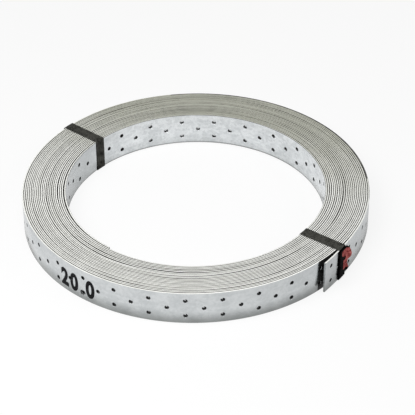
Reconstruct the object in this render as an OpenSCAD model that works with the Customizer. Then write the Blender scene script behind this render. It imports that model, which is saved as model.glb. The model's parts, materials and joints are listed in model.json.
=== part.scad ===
// Coil of perforated steel strap, lying flat and tied with two steel bands.
// The origin is on the coil's axis, on the floor under the bands, and the outer end lifts off at +X.

/* [Strap] */
// Width of the strap, which is the height of the lying coil
strap_w = 40; // [34:1:60]
// Thickness of the strap
strap_t = 2; // [1.5:0.1:3]
// Width of the break along each slit edge
edge_break = 0.3; // [0.1:0.05:0.5]

/* [Holes] */
// Diameter of a nail hole
hole_d = 5; // [4:0.5:7]
// Distance of each outer row of holes from the middle row
row_offset = 10; // [8:0.5:12]
// Distance along the strap from a pair of holes to the next single hole
hole_step = 20; // [16:1:40]
// Distance from the outer cut end of the strap to its first pair of holes
outer_margin = 11.5; // [6:0.5:14]
// Distance from the inner cut end of the strap to its first single hole
inner_margin = 14; // [6:1:18]

/* [Coil] */
// Diameter of the eye of the coil
eye_d = 300; // [260:5:340]
// Number of turns
turns = 23; // [10:1:28]
// Gap between one turn and the next
turn_gap = 0.2; // [0.1:0.01:0.4]
// Depth to which the gaps between turns are open
gap_depth = 3; // [1:0.5:8]

/* [Free end] */
// Length of the outer end that stands off the coil
free_len = 26; // [18:1:36]
// Radius to which the outer end is bent back
free_r = 90; // [70:5:200]

/* [Tie bands] */
// Width of a band
band_w = 13; // [10:1:19]
// Thickness of a band
band_t = 0.6; // [0.4:0.05:0.7]
// Angle from the near band, which holds the outer end down, round to the far band
band_angle = 177.3; // [150:0.1:200]
// Height of the lap where the two ends of a band overlap
lap_h = 38; // [33:1:38]
// Distance from the edge of the near band to the line where the outer end lifts
hold_margin = 0.8; // [0.4:0.1:3]

/* [Seals] */
// Height of a seal
seal_h = 34; // [28:1:34]
// Distance from the top of the coil down to the top of the seal
seal_drop = 0.4; // [0:0.1:2]
// Thickness of the seal's sheet
seal_t = 0.8; // [0.5:0.1:1.2]
// Room between a band's edge and the seal's side
seal_room = 0.4; // [0.2:0.1:1]
// Gap between the seal's sides and the strap behind it
seal_lift = 0.1; // [0.05:0.05:0.3]
// Height of the crimped notches above the lower end of the seal
notch_z = 11.5; // [10:0.5:16]
// Diameter of the crimped notch in each side of the seal
notch_d = 5; // [4:0.5:8]
// How far the notch bites into the seal's side
notch_bite = 2; // [1.5:0.1:2.4]
// How far the lobe above the notch is bent out
high_lip = 6; // [3:0.5:8]
// How far the lobe below the notch is bent out
low_lip = 3; // [1.5:0.5:3.5]
// Angle at which the lobes are bent out
lip_angle = 50; // [30:5:70]

/* [Hidden] */
$fn = 128;
overcut = 0.5;

pitch = strap_t + turn_gap;
eye_r = eye_d / 2;
coil_r = eye_r + (turns - 1) * pitch + strap_t;
outer_mid_r = coil_r - strap_t / 2;
inner_mid_r = eye_r + strap_t / 2;
coil_z = band_t;
mid_z = coil_z + strap_w / 2;

near_band_at = asin((band_w / 2 + hold_margin) / coil_r);
far_band_at = near_band_at + band_angle;

// Every turn is three quarters of a circle about the axis, then a quarter about a centre one pitch
// off the axis, then one pitch straight, which brings it in by one pitch without a bend.
step_centre = [0, -pitch];
three_quarters = 270;
quarter = 90;

free_centre = [outer_mid_r + free_r, 0];
free_angle = degrees(free_len / free_r);

seal_w = band_w + 2 * (seal_room + seal_t);
lap_r = coil_r + 2 * band_t;
seal_z = coil_z + strap_w - seal_drop - seal_h;
seal_side = (seal_w - seal_t) / 2;
seal_corner = sqrt(pow(lap_r + seal_t / 2, 2) - pow(seal_side, 2));

function degrees(radians) = radians * 180 / PI;
function polar(r, a) = r * [cos(a), sin(a)];
function arc_len(r, a) = r * a * PI / 180;
function bow_r(chord, rise) = chord * chord / (8 * rise) + rise / 2;

// A route along the strap is a list of arcs, in order from a cut end of the strap.
// Each arc is [centre, radius, first direction, way round, side that shows, length].
outer_route = [
    [free_centre, free_r, 180 + free_angle, -1, -1, free_len],
    [[0, 0], outer_mid_r, 0, 1, 1, arc_len(outer_mid_r, three_quarters)],
    [step_centre, outer_mid_r - pitch, -quarter, 1, 1, arc_len(outer_mid_r - pitch, quarter)]
];
inner_route = [
    [[0, 0], inner_mid_r, three_quarters, -1, -1, arc_len(inner_mid_r, three_quarters)],
    [step_centre, inner_mid_r, 0, -1, -1, arc_len(inner_mid_r, quarter)]
];

function route_len(route, i = 0) =
    i == len(route) ? 0 : route[i][5] + route_len(route, i + 1);

// Where a distance along a route falls, as [arc, distance along that arc].
function on_route(route, s, i = 0) =
    i == len(route) - 1 || s <= route[i][5] ? [route[i], s] : on_route(route, s - route[i][5], i + 1);

// Moves its children to a place on a route, with X pointing out of the side that shows.
module along(route, s) {
    place = on_route(route, s);
    arc = place[0];
    a = arc[2] + arc[3] * degrees(place[1] / arc[1]);
    facing = arc[4] > 0 ? a : a + 180;
    translate(concat(arc[0] + polar(arc[1], a), [mid_z]))
        rotate([0, 0, facing])
            children();
}

// A hole of the strap, open on the side that shows and as deep as the strap is thick.
module nail_hole(behind) {
    translate([-strap_t / 2 - behind, 0, 0])
        rotate([0, 90, 0])
            cylinder(d = hole_d, h = strap_t + behind + overcut);
}

// The holes of the strap in turn over one stretch of a route, with pairs at the odd or even places.
module hole_rows(route, margin, from_s, to_s, pairs_on, behind) {
    for (k = [0 : floor((to_s - margin) / hole_step)]) {
        s = margin + k * hole_step;
        rows = k % 2 == pairs_on ? [-row_offset, row_offset] : [0];
        if (s >= from_s)
            along(route, s)
                for (row = rows)
                    translate([0, 0, row])
                        nail_hole(behind);
    }
}

// Section of a stack of turns, with the gaps between them open at both ends.
module turn_section(first_r, count) {
    last_r = first_r + (count - 1) * pitch + strap_t;
    edges = [for (i = [0 : count - 1]) each concat(
        i == 0 ? [] : [[first_r + i * pitch - turn_gap / 2, gap_depth]],
        [[first_r + i * pitch + edge_break, 0], [first_r + i * pitch + strap_t - edge_break, 0]]
    )];
    side = concat([[first_r, edge_break]], edges, [[last_r, edge_break]]);
    opposite = [for (i = [len(side) - 1 : -1 : 0]) [side[i][0], strap_w - side[i][1]]];
    polygon(concat(side, opposite));
}

// A stretch of wound strap about its own centre.
module wound(centre, from_a, angle, first_r, count) {
    translate(concat(centre, [coil_z]))
        rotate([0, 0, from_a])
            rotate_extrude(angle = angle)
                turn_section(first_r, count);
}

module strap_coil() {
    outer_end = route_len(outer_route) - free_len - hole_d;
    inner_end = route_len(inner_route) - hole_d;
    color("gainsboro")
        difference() {
            union() {
                wound([0, 0], 0, three_quarters, eye_r, turns);
                wound(step_centre, -quarter, quarter, eye_r, turns - 1);
                translate([0, 0, coil_z])
                    rotate([90, 0, 0])
                        linear_extrude(height = pitch)
                            turn_section(eye_r, turns - 1);
                wound(free_centre, 180, free_angle, free_r - strap_t / 2, 1);
            }
            hole_rows(outer_route, outer_margin, 0, free_len - hole_d, 0, overcut);
            hole_rows(outer_route, outer_margin, free_len + hole_d, outer_end, 0, 0);
            hole_rows(inner_route, inner_margin, 0, inner_end, 1, 0);
        }
}

// Section of a closed band drawn tight round the coil.
module band_section() {
    difference() {
        union() {
            translate([eye_r - band_t, coil_z])
                square([coil_r - eye_r + 2 * band_t, strap_w]);
            translate([eye_r, 0])
                square([coil_r - eye_r, strap_w + 2 * band_t]);
            for (r = [eye_r, coil_r])
                for (z = [coil_z, coil_z + strap_w])
                    translate([r, z])
                        circle(r = band_t);
        }
        translate([eye_r, coil_z])
            square([coil_r - eye_r, strap_w]);
    }
    translate([coil_r + band_t, mid_z - lap_h / 2])
        square([band_t, lap_h]);
}

// Keeps what lies within a width across the direction in which a band is tied.
module across(w) {
    intersection() {
        children();
        translate([0, -w / 2, 0])
            cube([2 * coil_r, w, strap_w + 2 * band_t]);
    }
}

module tie_band(at) {
    color("dimgray")
        rotate([0, 0, at])
            across(band_w)
                rotate_extrude()
                    band_section();
}

// A folded sleeve over the lap of a band, crimped with one notch in each side.
module sleeve() {
    inside_w = band_w + 2 * seal_room;
    difference() {
        across(seal_w)
            rotate_extrude()
                translate([coil_r + seal_lift, seal_z])
                    square([lap_r + seal_t - coil_r - seal_lift, seal_h]);
        across(inside_w)
            rotate_extrude()
                translate([eye_r, coil_z])
                    square([lap_r - eye_r, strap_w]);
        for (side = [-1, 1])
            translate([coil_r - strap_t, side * (seal_w / 2 - notch_bite + notch_d / 2), seal_z + notch_z])
                rotate([0, 90, 0])
                    cylinder(d = notch_d, h = strap_t + lap_r + seal_t - coil_r + overcut);
    }
}

// A rounded lobe in the plane of a lip, from one height of the seal to another.
module lobe(from_z, to_z, lip) {
    r = bow_r(to_z - from_z, lip);
    translate([0, lip - r, (from_z + to_z) / 2])
        rotate([0, 90, 0])
            cylinder(r = r, h = 2 * seal_t, center = true);
}

// The two lobes that the crimping bends out along one side of the sleeve.
module lips() {
    translate([seal_corner, seal_side, seal_z])
        rotate([0, 0, -lip_angle])
            intersection() {
                translate([-seal_t / 2, 0, 0])
                    cube([seal_t, high_lip + low_lip, seal_h]);
                union() {
                    lobe(0, notch_z - notch_d / 2, low_lip);
                    lobe(notch_z + notch_d / 2, seal_h, high_lip);
                }
            }
}

module seal(at) {
    color("firebrick")
        rotate([0, 0, at]) {
            sleeve();
            lips();
        }
}

module far_tie_band() { tie_band(far_band_at); }
module near_tie_band() { tie_band(near_band_at); }
module far_seal() { seal(far_band_at); }
module near_seal() { seal(near_band_at); }

strap_coil();
far_tie_band();
near_tie_band();
far_seal();
near_seal();
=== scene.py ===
"""Dresses a tied coil of galvanised perforated steel strap and sets it on a pale studio floor.

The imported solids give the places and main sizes. The coil is wound here as one real strip, turn by
turn, with its slit edges, punched holes and lifted end, and tied with two black bands and their seals.
"""

import json
import logging
import math
from collections.abc import Iterable, Mapping, Sequence
from dataclasses import dataclass, field
from enum import Enum, IntEnum
from typing import Any, Optional, Union

import bmesh
import bpy
from bmesh.types import BMEdge, BMesh, BMVert
from bpy.types import Material, Mesh, NodeSocket, NodeTree, Object
from mathutils import Matrix, Quaternion, Vector, noise


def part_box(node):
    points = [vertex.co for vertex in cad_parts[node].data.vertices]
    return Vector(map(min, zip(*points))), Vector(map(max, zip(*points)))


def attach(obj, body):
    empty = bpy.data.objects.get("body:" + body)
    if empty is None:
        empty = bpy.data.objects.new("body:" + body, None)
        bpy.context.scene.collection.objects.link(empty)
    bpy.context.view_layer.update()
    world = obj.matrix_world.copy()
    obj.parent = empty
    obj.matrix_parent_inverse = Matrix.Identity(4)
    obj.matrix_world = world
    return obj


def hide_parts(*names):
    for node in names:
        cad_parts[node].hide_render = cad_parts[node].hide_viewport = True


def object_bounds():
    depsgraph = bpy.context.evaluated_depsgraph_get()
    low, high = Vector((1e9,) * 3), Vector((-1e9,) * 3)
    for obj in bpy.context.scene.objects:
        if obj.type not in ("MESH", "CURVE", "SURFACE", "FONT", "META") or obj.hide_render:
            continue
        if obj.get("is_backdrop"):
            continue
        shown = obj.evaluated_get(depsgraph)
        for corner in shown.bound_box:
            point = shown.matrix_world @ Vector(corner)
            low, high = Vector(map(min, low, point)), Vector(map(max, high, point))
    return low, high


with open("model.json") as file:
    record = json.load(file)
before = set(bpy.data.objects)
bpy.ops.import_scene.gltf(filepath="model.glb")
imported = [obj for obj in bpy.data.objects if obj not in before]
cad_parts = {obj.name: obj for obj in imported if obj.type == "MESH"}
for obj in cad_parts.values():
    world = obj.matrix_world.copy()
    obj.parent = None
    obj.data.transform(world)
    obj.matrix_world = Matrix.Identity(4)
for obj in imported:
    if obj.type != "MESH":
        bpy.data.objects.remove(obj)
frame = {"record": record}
CAD_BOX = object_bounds()

LOG = logging.getLogger("strap_coil")
MM = 0.001
UP = Vector((0.0, 0.0, 1.0))
QUARTER = math.pi / 2
THREE_QUARTERS = 1.5 * math.pi
FULL_TURN = 2 * math.pi
CUT_TOLERANCE = 1e-7
# The numbers that the meshes carry for their finishes
TURN = "turn"
# Where a seal's red is painted black as shade
SEAL_SHADE = "seal_shade"
# The height at the top of each band's seal that has no lobe
BARE_TOPS = {"far": 5 * MM, "near": 0.0}
Colour = tuple[float, float, float, float]
Direction = tuple[float, float, float]
Span = tuple[float, float]


def grey(level: float) -> Colour:
    """Returns a grey of one level."""
    return (level, level, level, 1.0)


def limited(number: float) -> float:
    """Returns a number kept between 0 and 1."""
    return min(1.0, max(0.0, number))


def smooth(low: float, high: float, at: float) -> float:
    """Returns 0 below low and 1 above high, with a soft rise between them."""
    share = limited((at - low) / (high - low))
    return share * share * (3 - 2 * share)


def towards(angle: float) -> Vector:
    """Returns the level direction at an angle from +X."""
    return Vector((math.cos(angle), math.sin(angle), 0.0))


@dataclass(frozen=True)
class Cloud:
    """An even, cloudy pattern.

    The size is the breadth of one cloud in metres, the detail how many finer octaves it has, and the
    stretch how many times longer the clouds are in each direction.
    """

    size: float
    detail: float
    stretch: Direction = (1.0, 1.0, 1.0)
    roughness: float = 0.55


class Wire:
    """One socket of a shader, on which numbers are worked out with plain operators."""

    def __init__(self, shader: "Shader", socket: NodeSocket) -> None:
        """Keeps the socket and the shader that it belongs to."""
        self.shader = shader
        self.socket = socket

    def _math(self, operation: str, first: "Term", second: "Term") -> "Wire":
        """Returns the result of a new Math node on two terms."""
        return self.shader.add("ShaderNodeMath", {"operation": operation}, {0: first, 1: second})[0]

    def __add__(self, other: "Term") -> "Wire":
        """Returns the sum."""
        return self._math("ADD", self, other)

    def __sub__(self, other: "Term") -> "Wire":
        """Returns the difference."""
        return self._math("SUBTRACT", self, other)

    def __rsub__(self, other: "Term") -> "Wire":
        """Returns the difference, taken from a plain number."""
        return self._math("SUBTRACT", other, self)

    def __mul__(self, other: "Term") -> "Wire":
        """Returns the product."""
        return self._math("MULTIPLY", self, other)

    __radd__ = __add__
    __rmul__ = __mul__

    def most(self, other: "Term") -> "Wire":
        """Returns the larger of the two."""
        return self._math("MAXIMUM", self, other)

    def rise(self, low: float, high: float) -> "Wire":
        """Returns 0 below low and 1 above high, with a soft rise between them."""
        settings = {"interpolation_type": "SMOOTHSTEP"}
        inputs = {"Value": self, "From Min": low, "From Max": high}
        return self.shader.add("ShaderNodeMapRange", settings, inputs)[0]


Term = Union[Wire, float]


class Shader:
    """The node tree of a material or of the world."""

    between_walls: Span = (179 * MM, 180 * MM)

    def __init__(self, tree: NodeTree) -> None:
        """Empties a tree, ready for new nodes."""
        self.tree = tree
        tree.nodes.clear()

    def add(
        self,
        kind: str,
        settings: Optional[Mapping[str, Any]] = None,
        inputs: Optional[Mapping[Union[int, str], Any]] = None,
    ) -> list[Wire]:
        """Adds a node.

        Args:
            kind: The node's type.
            settings: Its properties, which are set first.
            inputs: The values or links of its sockets, by name or number.

        Returns:
            The node's outputs, in order.
        """
        node = self.tree.nodes.new(kind)
        for name, setting in (settings or {}).items():
            setattr(node, name, setting)
        for key, given in (inputs or {}).items():
            if isinstance(given, Wire):
                self.tree.links.new(given.socket, node.inputs[key])
            else:
                node.inputs[key].default_value = given
        return [Wire(self, socket) for socket in node.outputs]

    def place(self) -> Wire:
        """Returns the point on the piece, in metres."""
        return self.add("ShaderNodeTexCoord")[3]

    def height(self) -> Wire:
        """Returns the height of the point above the floor, in metres."""
        return self.add("ShaderNodeSeparateXYZ", None, {0: self.place()})[2]

    def along(self, direction: Direction) -> Wire:
        """Returns how far the point lies in a direction from the origin, in metres."""
        inputs = {0: self.place(), 1: direction}
        return self.add("ShaderNodeVectorMath", {"operation": "DOT_PRODUCT"}, inputs)[1]

    def radius(self) -> Wire:
        """Returns how far the point lies from the coil's axis, in metres."""
        flat = self.add("ShaderNodeVectorMath", {"operation": "MULTIPLY"}, {0: self.place(), 1: (1, 1, 0)})
        return self.add("ShaderNodeVectorMath", {"operation": "LENGTH"}, {0: flat[0]})[1]

    def outside(self) -> Wire:
        """Returns 1 on the outside of the coil and 0 in its eye."""
        return self.radius().rise(*self.between_walls)

    def attribute(self, name: str) -> Wire:
        """Returns a number that the mesh carries."""
        return self.add("ShaderNodeAttribute", {"attribute_name": name})[2]

    def cloud(self, cloud: Cloud) -> Wire:
        """Returns a cloudy pattern, as a number about 0.5 that goes from 0 to 1."""
        scale = [1 / times for times in cloud.stretch]
        place = self.add("ShaderNodeMapping", None, {"Vector": self.place(), "Scale": scale})[0]
        inputs = {"Scale": 1 / cloud.size, "Detail": cloud.detail, "Roughness": cloud.roughness}
        return self.add("ShaderNodeTexNoise", None, {"Vector": place, **inputs})[0]

    def per_turn(self, speed: float) -> Wire:
        """Returns a tone from 0 to 1 that changes slowly along the strap, speed times in a turn."""
        inputs = {"W": self.attribute(TURN) * speed, "Scale": 1.0, "Detail": 2.0}
        return self.add("ShaderNodeTexNoise", {"noise_dimensions": "1D"}, inputs)[0]

    def grains(self, size: float) -> Wire:
        """Returns the tone of flat crystal grains of a size, from 0 to 1."""
        inputs = {"Vector": self.place(), "Scale": 1 / size}
        colour = self.add("ShaderNodeTexVoronoi", None, inputs)[1]
        return self.add("ShaderNodeSeparateColor", None, {0: colour})[0]

    def mix(self, share: Term, first: Union[Wire, Colour], second: Union[Wire, Colour]) -> Wire:
        """Returns a colour between two colours."""
        return self.add("ShaderNodeMix", {"data_type": "RGBA"}, {0: share, 6: first, 7: second})[2]

    def bump(self, height: Wire, depth: float, strength: float) -> Wire:
        """Returns a normal roughened by a height that is depth metres deep."""
        inputs = {"Height": height, "Distance": depth, "Strength": strength}
        return self.add("ShaderNodeBump", None, inputs)[0]

    def seen(self, straight: float, mirrored: float) -> Wire:
        """Finds a share that depends on where a ray comes from.

        Args:
            straight: The share for rays from the eye.
            mirrored: The share for rays off shiny or through clear surfaces.

        Returns:
            The share, which is 0 for all other rays.
        """
        rays = {wire.socket.name: wire for wire in self.add("ShaderNodeLightPath")}
        turned = rays["Is Glossy Ray"].most(rays["Is Transmission Ray"])
        return (rays["Is Camera Ray"] * straight).most(turned * mirrored)

    def finish(self, inputs: Mapping[str, Any]) -> None:
        """Joins a Principled shader with these inputs to the material's output."""
        surface = self.add("ShaderNodeBsdfPrincipled", None, inputs)[0]
        self.add("ShaderNodeOutputMaterial", None, {"Surface": surface})


class Finish:
    """A finish, which makes its own material."""

    name: str

    def material(self) -> Material:
        """Returns the finish as a new material."""
        made = bpy.data.materials.new(self.name)
        made.use_nodes = True
        self.shade(Shader(made.node_tree))
        return made

    def shade(self, shader: Shader) -> None:
        """Adds the finish's nodes to an empty tree."""
        raise NotImplementedError


@dataclass(frozen=True)
class ZincWall(Finish):
    """Hot-dip zinc on the flat sides of the strap: pale, shiny, cloudy and faintly grained."""

    name: str = "zinc_wall"
    pale: Colour = (0.800, 0.822, 0.832, 1.0)
    dull: Colour = (0.610, 0.635, 0.648, 1.0)
    # Painted shade: the darker zinc on the outside, on the lifted end and on one side of the eye
    worn: Colour = (0.420, 0.438, 0.442, 1.0)
    # Painted shade at the foot of the walls
    foot: Colour = (0.150, 0.160, 0.152, 1.0)
    # Painted shade beside the near band
    band_shade: Colour = (0.020, 0.021, 0.021, 1.0)
    clouds: Cloud = Cloud(22 * MM, 6.0)
    streaks: Cloud = Cloud(7 * MM, 3.0, (3.0, 3.0, 0.6))
    pores: Cloud = Cloud(0.5 * MM, 2.0)
    grain_size: float = 2.6 * MM
    relief: Span = (0.04 * MM, 0.35)
    tones: Span = (0.55, 1.05)
    # Shares of painted shade on the outer wall, less towards -Y, on the lifted end and on one side of the
    # eye
    shade_outside: float = 0.57
    less_shade: float = 0.15
    less_shade_side: Direction = (0.0, -1.0, 0.0)
    less_shade_reach: Span = (60 * MM, 190 * MM)
    lifted: float = 0.52
    lifted_reach: Span = (200.9 * MM, 202.2 * MM)
    shaded: float = 0.75
    shaded_side: Direction = (-0.77, -0.64, 0.0)
    shaded_reach: Span = (80 * MM, 145 * MM)
    # Painted shade at the foot of the walls, and a dark line along the floor
    foot_reach: Span = (0.0, 19 * MM)
    foot_wave: float = 7 * MM
    foot_outside: float = 0.54
    foot_inside: float = 0.18
    foot_line: float = 0.72
    line_reach: Span = (1.6 * MM, 3.2 * MM)
    # Painted shade beside the near band, on the lifted end and the wall
    band_shade_width: float = 7 * MM
    band_shade_tones: Span = (0.1, 1.15)
    band_shade_reach: Span = (194 * MM, 199 * MM)
    band_shade_end: Span = (2 * MM, 4 * MM)

    def shade(self, shader: Shader) -> None:
        """Adds cloudy zinc, with painted shade on the outside, at its foot and beside the near band."""
        clouds = shader.cloud(self.clouds)
        streaks = shader.cloud(self.streaks)
        grains = shader.grains(self.grain_size)
        tone = clouds * 0.9 + streaks * 0.5 + grains * 0.22
        coat = shader.mix(tone.rise(*self.tones), self.dull, self.pale)
        coat = self._with_painted_shade(shader, coat, clouds)
        # Painted shade beside the near band
        beside = shader.along((0, 1, 0)) * (1 / self.band_shade_width) + 1 + (streaks - 0.5) * 0.4
        band_shaded = beside.rise(*self.band_shade_tones) * shader.along((1, 0, 0)).rise(*self.band_shade_reach)
        band_shaded = band_shaded * (1 - shader.along((0, 1, 0)).rise(*self.band_shade_end))
        relief = streaks * 0.5 + shader.cloud(self.pores) * 0.35 + grains * 0.25
        shader.finish({
            "Base Color": shader.mix(band_shaded, coat, self.band_shade),
            "Metallic": 1.0,
            "Roughness": streaks * 0.12 + grains * 0.06 + 0.11,
            "Normal": shader.bump(relief, *self.relief),
        })

    def _with_painted_shade(self, shader: Shader, coat: Wire, clouds: Wire) -> Wire:
        """Paints shade on the zinc: outside, on the lifted end, on one side of the eye and at the foot.

        Args:
            shader: The tree that the nodes go in.
            coat: The colour of the fresh zinc.
            clouds: The pattern that makes the edge of the painted shade at the foot uneven.

        Returns:
            The colour with the painted shade.
        """
        # Painted shade on the outer wall, less towards -Y, on the lifted end and on one side of the eye
        outside = shader.outside()
        less_shade = shader.along(self.less_shade_side).rise(*self.less_shade_reach) * self.less_shade
        coat = shader.mix(outside * (self.shade_outside - less_shade), coat, self.worn)
        lifted = shader.radius().rise(*self.lifted_reach) * self.lifted
        shaded = shader.along(self.shaded_side).rise(*self.shaded_reach) * (1 - outside) * self.shaded
        coat = shader.mix(lifted.most(shaded), coat, self.worn)
        # Painted shade at the foot, and a dark line along the floor
        low = 1 - (shader.height() + (clouds - 0.5) * self.foot_wave).rise(*self.foot_reach)
        low = low * (outside * self.foot_outside + self.foot_inside)
        line = (1 - shader.height().rise(*self.line_reach)) * self.foot_line
        return shader.mix(low.most(line), coat, self.foot)


@dataclass(frozen=True)
class PatchyFinish(Finish):
    """A finish in one colour with soft patches of another, which are rougher."""

    name: str
    main: Colour
    patches: Colour
    pattern: Cloud
    tones: Span
    metallic: float
    roughness: float
    rougher: float = 0.2
    specular: float = 0.5

    def shade(self, shader: Shader) -> None:
        """Adds the two colours."""
        patch = shader.cloud(self.pattern)
        shader.finish({
            "Base Color": shader.mix(patch.rise(*self.tones), self.main, self.patches),
            "Metallic": self.metallic,
            "Roughness": patch * self.rougher + self.roughness,
            "Specular IOR Level": self.specular,
        })


@dataclass(frozen=True)
class PressedZincInShade(PatchyFinish):
    """Zinc of the strap where it lies against the next turn: painted shade, with lighter patches."""

    name: str = "pressed_zinc_in_shade"
    # Painted shade: near-black zinc under the lifted end and between the turns
    main: Colour = (0.020, 0.021, 0.020, 1.0)
    patches: Colour = (0.075, 0.078, 0.076, 1.0)
    pattern: Cloud = Cloud(6 * MM, 4.0)
    tones: Span = (0.45, 0.8)
    metallic: float = 0.4
    roughness: float = 0.3
    rougher: float = 0.3
    specular: float = 0.3


@dataclass(frozen=True)
class PunchedHole(PatchyFinish):
    """The wall of a punched hole, torn and sheared in turn: dark bare steel, darker still as painted shade.
    """

    name: str = "punched_hole"
    # Near-black: partly dark bare steel, partly painted shade in the hole
    main: Colour = (0.014, 0.014, 0.014, 1.0)
    patches: Colour = (0.060, 0.061, 0.061, 1.0)
    pattern: Cloud = Cloud(0.5 * MM, 3.0)
    tones: Span = (0.3, 0.7)
    metallic: float = 0.7
    roughness: float = 0.3


@dataclass(frozen=True)
class LengthInk(PatchyFinish):
    """Matt black ink of the printed length mark, thin in places."""

    name: str = "length_ink"
    main: Colour = (0.006, 0.006, 0.007, 1.0)
    patches: Colour = (0.028, 0.029, 0.031, 1.0)
    pattern: Cloud = Cloud(2.5 * MM, 4.0)
    tones: Span = (0.5, 0.8)
    metallic: float = 0.0
    roughness: float = 0.6
    specular: float = 0.08


@dataclass(frozen=True)
class SlitEdge(Finish):
    """The slit edges of the turns, which make the flat ends of the coil."""

    name: str = "slit_edge"
    pale: Colour = (0.940, 0.944, 0.908, 1.0)
    dull: Colour = (0.740, 0.744, 0.706, 1.0)
    # Painted shade: the olive tone that darkens the edges towards +Y
    film: Colour = (0.400, 0.410, 0.290, 1.0)
    speck: Colour = (0.260, 0.225, 0.185, 1.0)
    speed: float = 3.7
    tones: Span = (0.62, 1.25)
    patches: Cloud = Cloud(30 * MM, 5.0)
    scratches: Cloud = Cloud(0.9 * MM, 3.0, (1.0, 1.0, 6.0))
    relief: Span = (0.05 * MM, 0.6)
    # Painted shade towards +Y
    painted_shade_side: Direction = (-0.42, 0.91, 0.0)
    painted_shade_reach: Span = (-10 * MM, 170 * MM)
    painted_shade_wave: float = 120 * MM
    painted_shade_share: float = 0.62
    specks: Cloud = Cloud(1.6 * MM, 4.0)
    speck_tones: Span = (0.66, 0.76)
    speck_share: float = 0.45

    def shade(self, shader: Shader) -> None:
        """Adds bare steel whose tone differs from turn to turn, with painted shade towards +Y."""
        patch = shader.cloud(self.patches)
        scratch = shader.cloud(self.scratches)
        tone = shader.per_turn(self.speed) * 1.1 + patch * 0.5 + scratch * 0.3
        bare = shader.mix(tone.rise(*self.tones), self.dull, self.pale)
        # Painted shade towards +Y
        side = shader.along(self.painted_shade_side) + (patch - 0.5) * self.painted_shade_wave
        side_shaded = shader.mix(side.rise(*self.painted_shade_reach) * self.painted_shade_share, bare, self.film)
        specks = shader.cloud(self.specks).rise(*self.speck_tones) * self.speck_share
        shader.finish({
            "Base Color": shader.mix(specks, side_shaded, self.speck),
            "Metallic": 0.45,
            "Roughness": scratch * 0.25 + 0.34,
            "Normal": shader.bump(scratch, *self.relief),
        })


@dataclass(frozen=True)
class EdgeBreak(Finish):
    """The broken corners beside the gaps between turns: grime, and painted shade of the gaps."""

    name: str = "edge_break"
    # Grime, and painted shade of the gaps between turns
    dirt_and_gap_shade: Colour = (0.022, 0.022, 0.019, 1.0)
    worn: Colour = (0.150, 0.149, 0.132, 1.0)
    speed: float = 5.3
    patches: Cloud = Cloud(14 * MM, 4.0)
    tones: Span = (0.85, 1.3)

    def shade(self, shader: Shader) -> None:
        """Adds dark grime and painted shade, with the bare corner showing here and there."""
        patch = shader.cloud(self.patches)
        bare = (shader.per_turn(self.speed) + patch).rise(*self.tones)
        shader.finish({
            "Base Color": shader.mix(bare, self.dirt_and_gap_shade, self.worn),
            "Metallic": 0.3,
            "Roughness": patch * 0.2 + 0.42,
        })


@dataclass(frozen=True)
class HoleGround(Finish):
    """What a hole shows behind it: the zinc of the turn below."""

    name: str = "hole_ground"
    pale: Colour = (0.700, 0.715, 0.720, 1.0)
    # Oily patches, and painted shade in the holes on the outside of the coil
    oil_and_shade: Colour = (0.060, 0.062, 0.062, 1.0)
    film: Cloud = Cloud(1.5 * MM, 3.0)
    tones: Span = (0.3, 0.9)

    def shade(self, shader: Shader) -> None:
        """Adds shiny zinc with oily patches, and painted shade over much of it in the holes outside."""
        film = shader.cloud(self.film)
        # Oily patches everywhere, and painted shade in the holes on the outside
        share = (film.rise(*self.tones) * 0.5).most(shader.outside() * (film * 0.4 + 0.02))
        shader.finish({
            "Base Color": shader.mix(share, self.pale, self.oil_and_shade),
            "Metallic": 1.0,
            "Roughness": film * 0.2 + 0.10,
        })


@dataclass(frozen=True)
class BlackBand(Finish):
    """Black lacquered steel of the tie bands: a dusting and painted sheen on top and in the eye, a few
    scuffs.
    """

    name: str = "black_band"
    lacquer: Colour = (0.002, 0.002, 0.002, 1.0)
    # A dusting, and painted sheen: the lighter tone on top and in the eye
    dust_and_sheen_tone: Colour = (0.064, 0.064, 0.057, 1.0)
    scuff: Colour = (0.090, 0.088, 0.080, 1.0)
    drawn: Cloud = Cloud(1.1 * MM, 3.0, (1.0, 1.0, 5.0))
    patches: Cloud = Cloud(9 * MM, 5.0)
    relief: Span = (0.08 * MM, 0.8)
    tones: Span = (0.3, 0.7)
    # A dusting, and painted sheen, on top and in the eye
    top_dust_and_sheen: float = 0.8
    top_reach: Span = (40.9 * MM, 41.15 * MM)
    eye_dust_and_sheen: float = 0.64
    eye_reach: Span = (150 * MM, 151 * MM)
    dust_and_sheen: float = 1.7
    scuffs: Cloud = Cloud(2.2 * MM, 5.0)
    scuff_tones: Span = (0.66, 0.74)
    scuff_share: float = 0.5

    def shade(self, shader: Shader) -> None:
        """Adds satin black with drawn lines, a mottled dusting with painted sheen, and a few scuffs."""
        drawn = shader.cloud(self.drawn)
        patch = shader.cloud(self.patches)
        scuffs = shader.cloud(self.scuffs).rise(*self.scuff_tones) * self.scuff_share
        # A dusting, and painted sheen, on top and in the eye
        in_eye = (1 - shader.radius().rise(*self.eye_reach)) * self.eye_dust_and_sheen
        dust_and_sheen = (shader.height().rise(*self.top_reach) * self.top_dust_and_sheen).most(in_eye)
        mottled = patch.rise(*self.tones) * 0.45 + drawn.rise(*self.tones) * 0.65
        colour = shader.mix(mottled * dust_and_sheen * self.dust_and_sheen, self.lacquer, self.dust_and_sheen_tone)
        shader.finish({
            "Base Color": shader.mix(scuffs, colour, self.scuff),
            "Metallic": 0.0,
            "Roughness": patch * 0.2 + drawn * 0.16 + 0.34,
            "Specular IOR Level": 0.01,
            "Normal": shader.bump(drawn + patch * 0.4, *self.relief),
        })


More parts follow.
